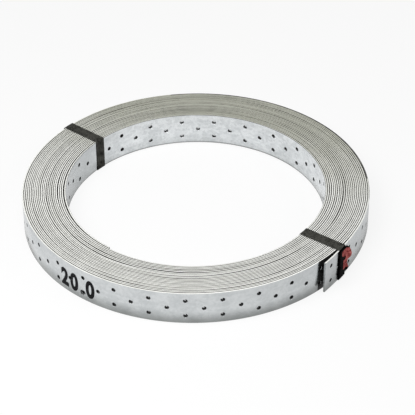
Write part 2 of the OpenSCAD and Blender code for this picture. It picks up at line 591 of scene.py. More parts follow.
@dataclass(frozen=True)
class RedSeal(Finish):
    """Dull red lacquer of the seals, painted black as shade where the mesh says so."""

    name: str = "red_seal"
    lacquer: Colour = (0.180, 0.030, 0.030, 1.0)
    faded: Colour = (0.500, 0.150, 0.138, 1.0)
    # Painted shade: the black of the seal's shaded parts
    black: Colour = (0.0015, 0.001, 0.001, 1.0)
    blotches: Cloud = Cloud(4 * MM, 4.0)
    blotch_tones: Span = (0.36, 0.66)
    chips: Cloud = Cloud(1.2 * MM, 4.0)
    relief: Span = (0.08 * MM, 0.6)
    seal_shade_tones: Span = (0.38, 0.62)

    def shade(self, shader: Shader) -> None:
        """Adds blotchy red, painted black as shade where the mesh says so, with a ragged edge."""
        blotch = shader.cloud(self.blotches)
        chips = shader.cloud(self.chips)
        colour = shader.mix(blotch.rise(*self.blotch_tones), self.lacquer, self.faded)
        # Painted shade, carried by the mesh, with a ragged edge
        seal_shade = (shader.attribute(SEAL_SHADE) + (chips - 0.5) * 0.5).rise(*self.seal_shade_tones)
        shader.finish({
            "Base Color": shader.mix(seal_shade, colour, self.black),
            "Metallic": 0.0,
            "Roughness": chips * 0.2 + 0.36,
            "Specular IOR Level": 0.01,
            "Normal": shader.bump(blotch + chips * 0.5, *self.relief),
        })


@dataclass(frozen=True)
class WhitePaper(Finish):
    """White paper of the studio's floor, which keeps the coil's shadow."""

    name: str = "white_paper"
    paper: Colour = grey(0.86)
    white: Colour = grey(1.0)
    straight: float = 0.84
    mirrored: float = 0.35

    def shade(self, shader: Shader) -> None:
        """Adds paper that is mostly plain white to the eye, and less so in what mirrors it."""
        lit = shader.add("ShaderNodeBsdfDiffuse", None, {"Color": self.paper})[0]
        white = shader.add("ShaderNodeEmission", None, {"Color": self.white, "Strength": 1.0})[0]
        share = shader.seen(self.straight, self.mirrored)
        both = shader.add("ShaderNodeMixShader", None, {0: share, 1: lit, 2: white})[0]
        shader.add("ShaderNodeOutputMaterial", None, {"Surface": both})


class StrapFace(IntEnum):
    """The finishes of the strap, in the order of its material slots."""

    WALL = 0
    SLIT = 1
    BREAK = 2
    HOLE = 3
    BEHIND = 4
    PRESSED = 5


class Way(Enum):
    """The way round an arc of the strap's route."""

    LEFT = 1
    RIGHT = -1


STRAP_FINISHES = (ZincWall, SlitEdge, EdgeBreak, PunchedHole, HoleGround, PressedZincInShade)


def mount(name: str) -> Mapping[str, Any]:
    """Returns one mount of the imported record."""
    return next(m for m in frame["record"]["mounts"] if m["name"] == name)


def show(piece: Object, slot: str, *nodes: str) -> Object:
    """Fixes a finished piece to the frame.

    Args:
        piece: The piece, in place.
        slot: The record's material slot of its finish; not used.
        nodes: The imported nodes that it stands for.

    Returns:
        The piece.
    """
    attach(piece, "root")
    if nodes:
        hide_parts(*nodes)
    LOG.info("%s: %d faces", piece.name, len(piece.data.polygons))
    return piece


def in_scene(name: str, data: Any) -> Object:
    """Returns a new object of the scene."""
    made = bpy.data.objects.new(name, data)
    bpy.context.scene.collection.objects.link(made)
    return made


def as_data(name: str, mesh: BMesh) -> Mesh:
    """Returns a bmesh as mesh data, and frees it."""
    data = bpy.data.meshes.new(name)
    mesh.to_mesh(data)
    mesh.free()
    return data


def as_object(name: str, mesh: BMesh, finishes: Iterable[Finish]) -> Object:
    """Turns a bmesh into an object in the scene.

    Args:
        name: The object's name.
        mesh: Its shape, which is freed.
        finishes: Its finishes, in the order of its material slots.

    Returns:
        The object.
    """
    data = as_data(name, mesh)
    for finish in finishes:
        data.materials.append(finish.material())
    return in_scene(name, data)


def ring_of(corners: Sequence[BMVert]) -> list[Any]:
    """Returns the corners of a ring or line with the edges that join them."""
    members = set(corners)
    edges = dict.fromkeys(
        edge for corner in corners for edge in corner.link_edges if edge.other_vert(corner) in members
    )
    return [*corners, *edges]


def extruded(mesh: BMesh, line: Iterable[Any]) -> list[BMVert]:
    """Extrudes the edges of a ring or line on the spot, and returns the new corners."""
    edges = [part for part in line if isinstance(part, BMEdge)]
    made = bmesh.ops.extrude_edge_only(mesh, edges=edges)["geom"]
    return [part for part in made if isinstance(part, BMVert)]


def steps_in(angle: float, step: float) -> int:
    """Returns how many steps make up an angle."""
    return max(1, round(angle / step))


def swept(
    mesh: BMesh, line: list[Any], centre: Vector, axis: Direction, angle: float, step: float
) -> list[Any]:
    """Draws a ring or line clockwise round a centre.

    Args:
        mesh: Where it is drawn.
        line: The corners and edges of the ring or line.
        centre: The point that it goes round.
        axis: The direction of the axis through the centre.
        angle: How far it goes.
        step: The angle of one step.

    Returns:
        The corners and edges of its far end.
    """
    return bmesh.ops.spin(
        mesh, geom=line, cent=centre, axis=axis, dvec=Vector(), angle=-angle,
        steps=steps_in(angle, step), use_merge=False, use_duplicate=False,
    )["geom_last"]


def close(mesh: BMesh) -> None:
    """Closes the open ends of a mesh and turns its faces outwards."""
    bmesh.ops.holes_fill(mesh, edges=[edge for edge in mesh.edges if edge.is_boundary], sides=0)
    bmesh.ops.recalc_face_normals(mesh, faces=mesh.faces)


@dataclass(frozen=True)
class Arc:
    """An arc of the strap's middle line, which shows its outer side if it goes left, and else its inner."""

    centre: Vector
    radius: float
    start: float
    way: Way
    length: float

    def at(self, s: float) -> tuple[Vector, Vector]:
        """Returns the place at a distance along the arc, and the direction out of the side that shows."""
        out = towards(self.start + self.way.value * s / self.radius)
        return self.centre + out * self.radius, out * self.way.value


@dataclass(frozen=True)
class StrapSizes:
    """Sizes of the strap and of the way it is wound, in metres and radians.

    The lifted side is how far from +X, either way round, the strap may stand off the coil.
    """

    thickness: float = 2 * MM
    edge_break: float = 0.42 * MM
    hole_step: float = 20 * MM
    row_offset: float = 10 * MM
    outer_margin: float = 11.5 * MM
    inner_margin: float = 14 * MM
    free_length: float = 69.8 * MM
    free_radius: float = 340 * MM
    lift: float = math.radians(12.3)
    lifted_side: float = 1.0
    turns: int = 23
    eye_radius: float = field(default_factory=lambda: mount("eye")["dims"]["r_mm"] * MM)
    hole_radius: float = field(default_factory=lambda: mount("strap_hole_01")["dims"]["r_mm"] * MM)
    coil_radius: float = field(default_factory=lambda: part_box("strap_coil")[1].y)
    low: float = field(default_factory=lambda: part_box("strap_coil")[0].z)
    high: float = field(default_factory=lambda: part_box("strap_coil")[1].z)

    @property
    def width(self) -> float:
        """Width of the strap."""
        return self.high - self.low

    @property
    def middle(self) -> float:
        """Height of the strap's middle row of holes."""
        return (self.high + self.low) / 2

    @property
    def pitch(self) -> float:
        """Distance from one turn to the next."""
        return (self.coil_radius - self.eye_radius - self.thickness) / (self.turns - 1)

    @property
    def turn_gap(self) -> float:
        """Gap between one turn and the next."""
        return self.pitch - self.thickness

    @property
    def step_centre(self) -> Vector:
        """Centre of the quarter in which each turn comes in by one pitch."""
        return Vector((0.0, -self.pitch, 0.0))

    @property
    def free_centre(self) -> Vector:
        """Centre of the slack free end, which is bent less than the turn that it lifts off."""
        return towards(self.lift) * (self.coil_radius - self.thickness / 2 - self.free_radius)

    @property
    def free_angle(self) -> float:
        """Angle of the free end about its own centre."""
        return self.free_length / self.free_radius

    def standoff(self, angle: float) -> float:
        """Returns how far the outer turn stands off the coil in a direction from the axis."""
        gone = max(0.0, self.lift - angle) if abs(angle) < self.lifted_side else 0.0
        length = gone * self.coil_radius
        return length ** 2 / 2 * (1 / self.coil_radius - 1 / self.free_radius)

    def outer_route(self) -> list[Arc]:
        """Returns the outside of the coil, from the outer cut end of the strap."""
        radius = self.coil_radius - self.thickness / 2
        inside = radius - self.pitch
        end = self.lift - self.free_angle
        return [
            Arc(self.free_centre, self.free_radius, end, Way.LEFT, self.free_length),
            Arc(Vector(), radius, self.lift, Way.LEFT, radius * (THREE_QUARTERS - self.lift)),
            Arc(self.step_centre, inside, -QUARTER, Way.LEFT, inside * QUARTER),
        ]

    def inner_route(self) -> list[Arc]:
        """Returns the wall of the eye, from the inner cut end of the strap."""
        radius = self.eye_radius + self.thickness / 2
        return [
            Arc(Vector(), radius, THREE_QUARTERS, Way.RIGHT, radius * THREE_QUARTERS),
            Arc(self.step_centre, radius, 0.0, Way.RIGHT, radius * QUARTER),
        ]


def along(route: Sequence[Arc], s: float) -> tuple[Vector, Vector]:
    """Finds a place on a route.

    Args:
        route: The arcs in order.
        s: The distance along them.

    Returns:
        The place, and the direction out of the side that shows.
    """
    for arc in route[:-1]:
        if s <= arc.length:
            return arc.at(s)
        s -= arc.length
    return route[-1].at(s)


@dataclass(frozen=True)
class Winding:
    """How unevenly the turns lie: the gaps differ freely, some open in places, and no edge is quite level.

    The first two gaps and the last stay even, but for one loose place in the first. The slack places
    are the numbers of other gaps, counted from the third, with the directions in degrees where they open.
    """

    gaps: int
    gap: float
    least: float = 0.05
    wander: float = 1.7
    drift: float = 3.1
    loose: float = 0.8 * MM
    loose_at: float = math.radians(-142)
    loose_reach: Span = (0.45, 0.95)
    slack: float = 0.75
    slack_places: tuple[tuple[int, float], ...] = ((1, 8.0), (3, 15.0), (7, 28.0))
    slack_reach: Span = (0.93, 0.995)
    unlevel: float = 0.32 * MM
    waves: float = 4.1
    seed: float = 4.3
    level_seed: float = 0.6

    def widths(self, angle: float) -> list[float]:
        """Finds the width of each gap.

        Args:
            angle: The direction from the axis.

        Returns:
            The widths in metres, from the inside out.
        """
        x, y = self.wander * math.cos(angle), self.wander * math.sin(angle)
        free = [
            self.least + max(0.0, noise.noise(Vector((x, y, self.seed + self.drift * number))))
            for number in range(2, self.gaps - 1)
        ]
        for number, place in self.slack_places:
            free[number] += self.slack * smooth(*self.slack_reach, math.cos(angle - math.radians(place)))
        first = self.gap + self.loose * smooth(*self.loose_reach, math.cos(angle - self.loose_at))
        total = (self.gap * (self.gaps - 2) - first) / sum(free)
        return [first, self.gap, *(share * total for share in free), self.gap]

    def shift(self, turn: float, angle: float) -> float:
        """Finds how far a turn lies outside its even place.

        Args:
            turn: The number of turns from the inner end.
            angle: The direction from the axis.

        Returns:
            The distance, in metres.
        """
        extra = [width - self.gap for width in self.widths(angle)]
        whole = math.floor(turn)
        return sum(extra[:whole]) + (turn - whole) * sum(extra[whole:whole + 1])

    def lift(self, turn: float) -> float:
        """Returns how far a turn's edges lie above their even height."""
        return self.unlevel * noise.noise(Vector((turn * self.waves, self.seed, self.level_seed)))


@dataclass(frozen=True)
class Stretch:
    """A stretch of the strap with the rows of holes in it.

    The margin is the distance from the cut end to the first holes, which are a pair where pairs is 0,
    and behind is how far a punch goes on behind the strap. A streaked hole has painted shade beside a
    bare streak.
    """

    route: Sequence[Arc]
    margin: float
    pairs: int
    first: float
    last: float
    behind: float
    streaked: bool = False


class Solver(Enum):
    """The way in which the punches are cut out of a piece."""

    CLOSED = "MANIFOLD"
    OPEN = "EXACT"


@dataclass
class HolePunch:
    """The punch for the nail holes, which also breaks the mouth of each hole.

    The floor is how far behind the strap a hole's ground lies, and clear how far a punch goes past an
    open side. The streak is the part of the ground that is bare, across the way it leans.
    """

    sizes: StrapSizes
    mouth: float = 0.15 * MM
    floor: float = 0.3 * MM
    clear: float = 0.6 * MM
    sides: int = 20
    # The ground beside the streak is painted shade, in the hole's near-black
    streak: Span = (-1.5 * MM, 0.1 * MM)
    streak_lean: Direction = (0.9, 0.44, 0.0)
    facing_back: float = -0.5

    def cut(self, piece: Object, stretches: Iterable[Stretch], solver: Solver) -> None:
        """Punches the holes of some stretches out of a piece.

        Args:
            piece: The piece, which is changed.
            stretches: The stretches of the strap.
            solver: The way to cut.
        """
        tool = bmesh.new()
        for stretch in stretches:
            self._row(tool, stretch)
        punches = as_object("punches", tool, [])
        holes = piece.modifiers.new("holes", "BOOLEAN")
        holes.object = punches
        holes.operation = "DIFFERENCE"
        holes.solver = solver.value
        graph = bpy.context.evaluated_depsgraph_get()
        whole = piece.data
        piece.data = bpy.data.meshes.new_from_object(piece.evaluated_get(graph))
        piece.modifiers.clear()
        bpy.data.objects.remove(punches)
        bpy.data.meshes.remove(whole)

    def _row(self, tool: BMesh, stretch: Stretch) -> None:
        """Adds a punch for each hole of a stretch.

        Args:
            tool: Where the punches go.
            stretch: The stretch of the strap.
        """
        sizes = self.sizes
        punch = self._one(stretch.behind, stretch.streaked)
        for number in range(int((stretch.last - stretch.margin) / sizes.hole_step) + 1):
            s = stretch.margin + number * sizes.hole_step
            if s < stretch.first:
                continue
            rows = (-sizes.row_offset, sizes.row_offset) if number % 2 == stretch.pairs else (0.0,)
            spot, out = along(stretch.route, s)
            turned = out.to_track_quat("Z", "Y").to_matrix().to_4x4()
            for row in rows:
                known = len(tool.verts)
                tool.from_mesh(punch)
                tool.verts.ensure_lookup_table()
                place = Matrix.Translation(spot + UP * (sizes.middle + row)) @ turned
                bmesh.ops.transform(tool, matrix=place, verts=tool.verts[known:])
        bpy.data.meshes.remove(punch)

    def _one(self, behind: float, streaked: bool) -> Mesh:
        """Makes one punch.

        Args:
            behind: How far it goes on behind the strap.
            streaked: Whether its ground shows only a bare streak.

        Returns:
            The punch about its hole's middle, with Z pointing out of it.
        """
        sizes = self.sizes
        wide = (sizes.hole_radius + self.mouth) / sizes.hole_radius
        tool = bmesh.new()
        bmesh.ops.create_circle(
            tool, cap_ends=False, radius=sizes.hole_radius, segments=self.sides,
            matrix=Matrix.Translation((0.0, 0.0, -sizes.thickness / 2 - behind)),
        )
        line = tool.edges[:]
        moves = ((sizes.thickness + behind - self.mouth, 1.0), (self.mouth, wide), (self.clear, 1.0))
        for rise, widen in moves:
            ring = extruded(tool, line)
            line = ring_of(ring)
            bmesh.ops.translate(tool, vec=UP * rise, verts=ring)
            bmesh.ops.scale(tool, vec=(widen, widen, 1.0), verts=ring)
        close(tool)
        self._mark_faces(tool, streaked)
        return as_data("punch", tool)

    def _mark_faces(self, tool: BMesh, streaked: bool) -> None:
        """Gives a punch the finishes that it leaves in a hole.

        Args:
            tool: The punch.
            streaked: Whether its ground is split into a bare streak with painted shade beside it.
        """
        lean = Vector(self.streak_lean)
        for side in self.streak if streaked else ():
            ground = [part for part in tool.faces if part.normal.z < self.facing_back]
            around = dict.fromkeys(near for part in ground for near in (*part.verts, *part.edges))
            bmesh.ops.bisect_plane(
                tool, geom=[*ground, *around], dist=CUT_TOLERANCE, plane_co=lean * side, plane_no=lean
            )
        # Ground beside the streak takes the hole's near-black as painted shade
        for part in tool.faces:
            middle = part.calc_center_median()
            bare = not streaked or self.streak[0] < middle.dot(lean) < self.streak[1]
            if bare and part.normal.z < self.facing_back:
                part.material_index = StrapFace.BEHIND
            elif middle.z < self.sizes.thickness / 2 - self.mouth:
                part.material_index = StrapFace.HOLE
            else:
                part.material_index = StrapFace.WALL


@dataclass
class StrapCoil:
    """The strap: one strip wound from the eye outwards, with its holes and its lifted end.

    A face whose normal's rise passes flat is a slit edge, and one that passes upright a broken corner.
    The outermost edge is darker on the +Y side, further round on its corner than on its top. The outer
    and inner share are how many turns show at each end, the outer with the quarter that it lacks.
    """

    sizes: StrapSizes
    punch: HolePunch
    fine_step: float = math.radians(1.0)
    coarse_step: float = math.radians(2.0)
    fine_turns: int = 2
    joint: float = 0.002 * MM
    sharp: float = math.radians(28)
    flat: float = 0.97
    leaning: float = 0.6
    upright: float = 0.2
    outer_share: float = 1.25
    inner_share: float = 1.02
    # From these shares round to +Y, the outermost edge takes the darker finish of the broken corners
    dark_edge_top: float = 0.67
    dark_edge_corner: float = 0.5

    def build(self) -> Object:
        """Winds the strap, punches its holes and gives it its finishes.

        Returns:
            The finished piece.
        """
        coil = as_object("coil_strap", self._wound(), [finish() for finish in STRAP_FINISHES])
        self.punch.cut(coil, self._rows_of_holes(), Solver.CLOSED)
        coil.data.shade_smooth()
        coil.data.set_sharp_from_angle(angle=self.sharp)
        return show(coil, "galvanised_steel", "strap_coil")

    def _rows_of_holes(self) -> list[Stretch]:
        """Returns the stretches whose holes show: the free end, the outside and the eye."""
        sizes, punch = self.sizes, self.punch
        free, apart = sizes.free_length - sizes.lift * sizes.coil_radius, sizes.hole_radius * 2
        outer, inner = sizes.outer_route(), sizes.inner_route()
        outer_end = sum(arc.length for arc in outer) - apart
        inner_end = sum(arc.length for arc in inner) - apart
        return [
            Stretch(outer, sizes.outer_margin, 0, 0.0, free, punch.clear),
            Stretch(outer, sizes.outer_margin, 0, free + apart, outer_end, punch.floor, True),
            Stretch(inner, sizes.inner_margin, 1, 0.0, inner_end, punch.floor),
        ]

    def _section(self, mesh: BMesh, turn: int) -> list[Any]:
        """Draws the strap's section where a turn starts.

        Args:
            mesh: Where it is drawn.
            turn: The number of the turn, from the eye outwards.

        Returns:
            The corners and edges of the section.
        """
        sizes = self.sizes
        bmesh.ops.create_grid(mesh, x_segments=1, y_segments=1, size=0.5)
        bmesh.ops.scale(mesh, vec=(sizes.thickness, sizes.width, 1.0), verts=mesh.verts)
        bmesh.ops.bevel(
            mesh, geom=mesh.verts[:], offset=sizes.edge_break, offset_type="OFFSET", affect="VERTICES",
            segments=2, profile=0.5, material=-1,
        )
        bmesh.ops.delete(mesh, geom=mesh.faces[:], context="FACES_ONLY")
        radius = sizes.eye_radius + sizes.thickness / 2 + turn * sizes.pitch
        place = (
            Matrix.Rotation(-QUARTER, 4, "Z")
            @ Matrix.Translation((radius, 0.0, sizes.middle))
            @ Matrix.Rotation(QUARTER, 4, "X")
        )
        bmesh.ops.transform(mesh, matrix=place, verts=mesh.verts)
        return [*mesh.verts, *mesh.edges]

    def _wound(self) -> BMesh:
        """Winds the strap from the eye out to the free end, and closes its cut ends.

        Returns:
            The strap without its holes.
        """
        winding = Winding(self.sizes.turns - 1, self.sizes.turn_gap)
        strap = bmesh.new()
        for turn in range(self.sizes.turns):
            part = as_data("turn", self._one_turn(turn, winding))
            strap.from_mesh(part)
            bpy.data.meshes.remove(part)
        bmesh.ops.remove_doubles(strap, verts=strap.verts, dist=self.joint)
        close(strap)
        self._mark_faces(strap)
        return strap

    def _one_turn(self, turn: int, winding: Winding) -> BMesh:
        """Winds one turn, and the free end after the last one.

        Args:
            turn: The number of the turn, from the eye outwards.
            winding: How unevenly the turns lie.

        Returns:
            The turn, open at both ends.
        """
        sizes = self.sizes
        mesh = bmesh.new()
        mesh.verts.layers.float.new(TURN)
        ring = self._section(mesh, turn)
        corners = len(mesh.verts)
        last = turn == sizes.turns - 1
        shows = turn < self.fine_turns or turn >= sizes.turns - self.fine_turns
        step = self.fine_step if shows else self.coarse_step
        main = THREE_QUARTERS - (sizes.lift if last else 0.0)
        ring = swept(mesh, ring, Vector(), UP, main, step)
        stations = [(float(turn), -QUARTER), *self._stations(turn, 0.0, main, step)]
        if last:
            swept(mesh, ring, sizes.free_centre, UP, sizes.free_angle, step)
        else:
            moved = extruded(mesh, ring)
            bmesh.ops.translate(mesh, vec=sizes.step_centre, verts=moved)
            stations.append(stations[-1])
            swept(mesh, ring_of(moved), sizes.step_centre, UP, QUARTER, step)
            stations += self._stations(turn, THREE_QUARTERS, QUARTER, step)
        self._settle(mesh, corners, stations, winding)
        return mesh

    @staticmethod
    def _stations(turn: int, done: float, angle: float, step: float) -> list[tuple[float, float]]:
        """Lists where the rings of a sweep lie.

        Args:
            turn: The number of the turn.
            done: The angle already gone in it.
            angle: The angle of the sweep.
            step: The angle of one step.

        Returns:
            The number of turns from the inner end and the direction from the axis, for each ring.
        """
        count = steps_in(angle, step)
        gone = [done + angle * number / count for number in range(1, count + 1)]
        return [(turn + g / FULL_TURN, -QUARTER - g) for g in gone]

    @staticmethod
    def _settle(
        mesh: BMesh, corners: int, stations: Sequence[tuple[float, float]], winding: Winding
    ) -> None:
        """Lets a turn lie as unevenly as a real one.

        Args:
            mesh: The turn.
            corners: How many corners its section has.
            stations: Where its rings lie.
            winding: How unevenly the turns lie.
        """
        counter = mesh.verts.layers.float[TURN]
        mesh.verts.ensure_lookup_table()
        for number in range(len(mesh.verts) // corners):
            turn, angle = stations[min(number, len(stations) - 1)]
            move = towards(angle) * winding.shift(turn, angle) + UP * winding.lift(turn)
            for corner in mesh.verts[number * corners:(number + 1) * corners]:
                corner.co += move
                corner[counter] = turn

    def _mark_faces(self, mesh: BMesh) -> None:
        """Sorts the faces into walls, slit edges, broken corners and what lies between the turns."""
        sizes = self.sizes
        past = sizes.free_length / sizes.coil_radius - sizes.lift
        uncovered = sizes.turns - self.outer_share + past / FULL_TURN
        counter = mesh.verts.layers.float[TURN]
        mesh.normal_update()
        for part in mesh.faces:
            level = abs(part.normal.z)
            turn = part.verts[0][counter]
            middle = part.calc_center_median().xy.to_3d()
            outward = part.normal.dot(middle) > 0
            exposed = (turn > uncovered and outward) or (turn < self.inner_share and not outward)
            side = middle.y / middle.length if turn > uncovered else 0.0
            # The top and corner of the outermost edge are darker towards +Y
            if level > self.flat:
                part.material_index = StrapFace.BREAK if side > self.dark_edge_top else StrapFace.SLIT
            elif level > self.upright:
                clean = exposed and outward and side < self.dark_edge_corner
                rim = StrapFace.SLIT if level > self.leaning else StrapFace.WALL
                part.material_index = rim if clean else StrapFace.BREAK
            # Hidden sides, and the wall under the lifted end, take the painted shade of pressed zinc
            elif not exposed:
                part.material_index = StrapFace.PRESSED


@dataclass
class LengthMark:
    """A plain number printed on the outside of the strap, as length marks are."""

    sizes: StrapSizes
    punch: HolePunch
    text: str = "20,0"
    first: float = math.radians(-98.4)
    last: float = math.radians(-84.2)
    height: float = 28 * MM
    drop: float = 4.2 * MM
    film: float = 0.05 * MM
    film_out: float = 0.04 * MM
    bold: float = 0.046
    spacing: float = 1.28
    strip: float = 2 * MM
    reach: float = 40 * MM
    joint: float = 1e-5

    def build(self) -> Object:
        """Prints the number, bends it round the wall and leaves it out over the holes.

        Returns:
            The finished piece.
        """
        mesh = self._written()
        self._fit(mesh)
        self._bend(mesh)
        mark = as_object("length_mark", mesh, [LengthInk()])
        sizes, start = self.sizes, self._start()
        stretch = Stretch(
            sizes.outer_route(), sizes.outer_margin, 0, start - self.reach, start + self.reach,
            self.punch.clear,
        )
        self.punch.cut(mark, [stretch], Solver.OPEN)
        for part in mark.data.polygons:
            part.material_index = 0
        return show(mark, "galvanised_steel")

    def _written(self) -> BMesh:
        """Returns the number as a flat, thick mesh."""
        curve = bpy.data.curves.new("length_mark", "FONT")
        curve.body = self.text
        curve.offset = self.bold
        curve.space_character = self.spacing
        curve.extrude = 1.0
        curve.fill_mode = "BOTH"
        written = in_scene("length_mark_text", curve)
        flat = bpy.data.meshes.new_from_object(written)
        bpy.data.objects.remove(written)
        mesh = bmesh.new()
        mesh.from_mesh(flat)
        bpy.data.meshes.remove(flat)
        return mesh

    def _start(self) -> float:
        """Returns the distance of the number's middle along the strap from its outer cut end."""
        radius = self.sizes.coil_radius - self.sizes.thickness / 2
        middle = (self.first + self.last) / 2 + FULL_TURN - self.sizes.lift
        return self.sizes.free_length + radius * middle

    def _fit(self, mesh: BMesh) -> None:
        """Scales the flat number to its place and cuts it so that it can bend."""
        bmesh.ops.remove_doubles(mesh, verts=mesh.verts, dist=self.joint)
        xs = [corner.co.x for corner in mesh.verts]
        ys = [corner.co.y for corner in mesh.verts]
        length = self.sizes.coil_radius * (self.last - self.first)
        middle = Vector((-(min(xs) + max(xs)) / 2, -(min(ys) + max(ys)) / 2, 0.0))
        bmesh.ops.translate(mesh, vec=middle, verts=mesh.verts)
        scale = (length / (max(xs) - min(xs)), self.height / (max(ys) - min(ys)), self.film / 2)
        bmesh.ops.scale(mesh, vec=scale, verts=mesh.verts)
        for number in range(1, int(length / self.strip)):
            x = number * self.strip - length / 2
            bmesh.ops.bisect_plane(
                mesh, geom=[*mesh.verts, *mesh.edges, *mesh.faces], dist=CUT_TOLERANCE,
                plane_co=(x, 0.0, 0.0), plane_no=(1.0, 0.0, 0.0),
            )

    def _bend(self, mesh: BMesh) -> None:
        """Lays the flat number on the outside of the strap."""
        sizes = self.sizes
        route, start = sizes.outer_route(), self._start()
        for corner in mesh.verts:
            spot, out = along(route, start + corner.co.x)
            depth = sizes.thickness / 2 + self.film_out + corner.co.z
            corner.co = spot + out * depth + UP * (sizes.middle - self.drop + corner.co.y)
        bmesh.ops.recalc_face_normals(mesh, faces=mesh.faces)


@dataclass(frozen=True)
class SheetMetal:
    """Thin bent sheet, which gets its thickness and the rounding of its edges from modifiers."""

    thickness: float
    rounding: float
    even: bool
    edge_angle: float = math.radians(50)

    def make(self, name: str, mesh: BMesh, turned: Matrix, finish: Finish) -> Object:
        """Turns the middle of a sheet into a piece.

        Args:
            name: The piece's name.
            mesh: The middle of the sheet, tied in the direction of +X.
            turned: The turn to the direction in which it is tied.
            finish: Its finish.

        Returns:
            The piece.
        """
        bmesh.ops.recalc_face_normals(mesh, faces=mesh.faces)
        bmesh.ops.transform(mesh, matrix=turned, verts=mesh.verts)
        for part in mesh.faces:
            part.smooth = True
        piece = as_object(name, mesh, [finish])
        sheet = piece.modifiers.new("sheet", "SOLIDIFY")
        sheet.thickness = self.thickness
        sheet.offset = 0.0
        sheet.use_even_offset = self.even
        edges = piece.modifiers.new("edges", "BEVEL")
        edges.width = self.rounding
        edges.segments = 2
        edges.limit_method = "ANGLE"
        edges.angle_limit = self.edge_angle
        return piece


@dataclass
class TieBand:
    """A narrow steel band drawn tight round the section of the coil, its ends lapped outside."""

    name: str
    sizes: StrapSizes
    width: float = 13 * MM
    bend: float = 0.75 * MM
    lap: float = 38 * MM
    across: int = 4
    straight: int = 8
    bend_step: float = QUARTER / 4
    rounding: float = 0.12 * MM

    @property
    def node(self) -> str:
        """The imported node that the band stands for."""
        return f"{self.name}_tie_band"

    @property
    def thickness(self) -> float:
        """Thickness of the band, which is how far the coil lies above the floor."""
        return self.sizes.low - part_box(self.node)[0].z

    @property
    def tied_at(self) -> float:
        """The direction from the axis in which the band is tied."""
        spot = mount(f"{self.name}_rest")["pos_m"]
        return math.atan2(spot[1], spot[0])

    @property
    def turned(self) -> Matrix:
        """The turn from +X to the direction in which the band is tied."""
        return Matrix.Rotation(self.tied_at, 4, "Z")

    def over_strap(self, y: float) -> float:
        """Returns how far the strap under the band stands off the coil at a distance across the band."""
        return self.sizes.standoff(self.tied_at + y / self.sizes.coil_radius)

    def build(self) -> Object:
        """Draws the band from its first end, round the coil, to the end that laps over it.

        Returns:
            The finished piece.
        """
        mesh = bmesh.new()
        line = self._start(mesh)
        for run, centre in self._path():
            line = self._run(mesh, line, run)
            if centre is not None:
                line = swept(mesh, line, centre, (0.0, 1.0, 0.0), QUARTER, self.bend_step)
        sizes = self.sizes
        for corner in mesh.verts:
            share = (corner.co.x - sizes.eye_radius) / (sizes.coil_radius - sizes.eye_radius)
            round_coil = math.sqrt(corner.co.x ** 2 - corner.co.y ** 2)
            corner.co.x = round_coil + self.over_strap(corner.co.y) * limited(share)
        metal = SheetMetal(self.thickness, self.rounding, True)
        band = metal.make(f"{self.name}_band", mesh, self.turned, BlackBand())
        return show(band, "black_band", self.node)

    def _start(self, mesh: BMesh) -> list[Any]:
        """Draws the first end of the band, across its width."""
        sizes = self.sizes
        bmesh.ops.create_grid(mesh, x_segments=1, y_segments=self.across, size=self.width / 2)
        side = [corner for corner in mesh.verts if corner.co.x < 0]
        bmesh.ops.delete(mesh, geom=side, context="VERTS")
        foot = Vector((sizes.coil_radius + self.thickness / 2, 0.0, sizes.middle - self.lap / 2))
        for corner in mesh.verts:
            corner.co = foot + Vector((0.0, corner.co.y, 0.0))
        return [*mesh.verts, *mesh.edges]

    def _path(self) -> list[tuple[Vector, Optional[Vector]]]:
        """Returns each straight run of the band with the centre of the bend after it."""
        sizes, half = self.sizes, self.thickness / 2
        out, eye = sizes.coil_radius + half - self.bend, sizes.eye_radius - half + self.bend
        top, foot = sizes.high + half - self.bend, sizes.low - half + self.bend
        lapped = out + self.thickness
        start, end = sizes.middle - self.lap / 2, sizes.middle + self.lap / 2
        return [
            (Vector((0.0, 0.0, top - start)), Vector((out, 0.0, top))),
            (Vector((eye - out, 0.0, 0.0)), Vector((eye, 0.0, top))),
            (Vector((0.0, 0.0, foot - top)), Vector((eye, 0.0, foot))),
            (Vector((lapped - eye, 0.0, 0.0)), Vector((lapped, 0.0, foot))),
            (Vector((0.0, 0.0, end - foot)), None),
        ]

    def _run(self, mesh: BMesh, line: list[Any], run: Vector) -> list[Any]:
        """Draws the band straight on and returns its new end."""
        for _ in range(self.straight):
            corners = extruded(mesh, line)
            bmesh.ops.translate(mesh, vec=run / self.straight, verts=corners)
            line = ring_of(corners)
        return line


